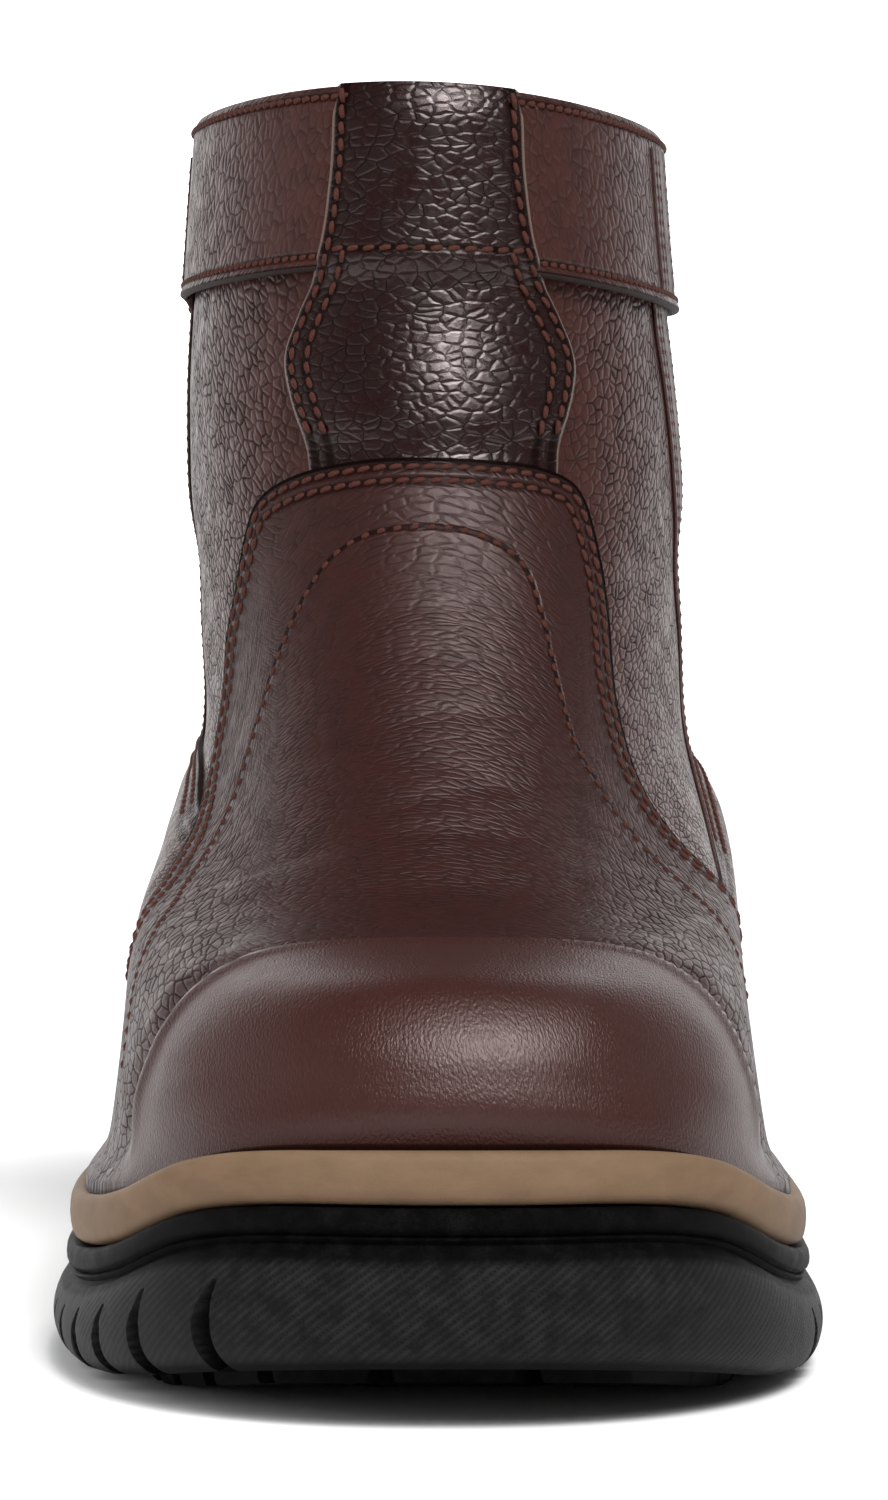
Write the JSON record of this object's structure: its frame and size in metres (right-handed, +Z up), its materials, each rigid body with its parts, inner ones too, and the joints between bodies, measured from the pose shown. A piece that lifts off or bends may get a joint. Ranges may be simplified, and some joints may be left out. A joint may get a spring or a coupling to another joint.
{
  "type": "safety boot",
  "caption": "Ankle-high pull-on safety boot for the right foot: hollow leather upper with roomy toe, collar band and front stay, on a tan midsole and a black rubber sole with lugs and heel.",
  "frame": {"origin": "on the floor under the middle of the outsole", "axes": "+Z up, -Y towards the toe, -X towards the outer side of the foot"},
  "size_m": [0.1156, 0.3062, 0.1964],
  "materials": {
    "sole_rubber": "black moulded rubber, matte, fine ribs on the bumper",
    "midsole_foam": "tan moulded foam rubber, satin",
    "footbed": "dark cloth on foam",
    "shaft_leather": "brown pebbled leather, satin, with a cloth lining inside",
    "vamp_leather": "brown leather, smooth and satin over the toe, fine pebble above",
    "counter_leather": "brown leather, fine grain",
    "stay_leather": "dark brown leather with a coarse pebble",
    "band_leather": "brown pebbled leather, dark cut edge"
  },
  "bodies": {
    "root": {"outsole": "sole_rubber", "midsole": "midsole_foam", "insole": "footbed", "upper": "shaft_leather", "vamp": "vamp_leather", "heel_counter": "counter_leather", "front_stay": "stay_leather", "collar_band": "band_leather"}
  },
  "joints": []
}
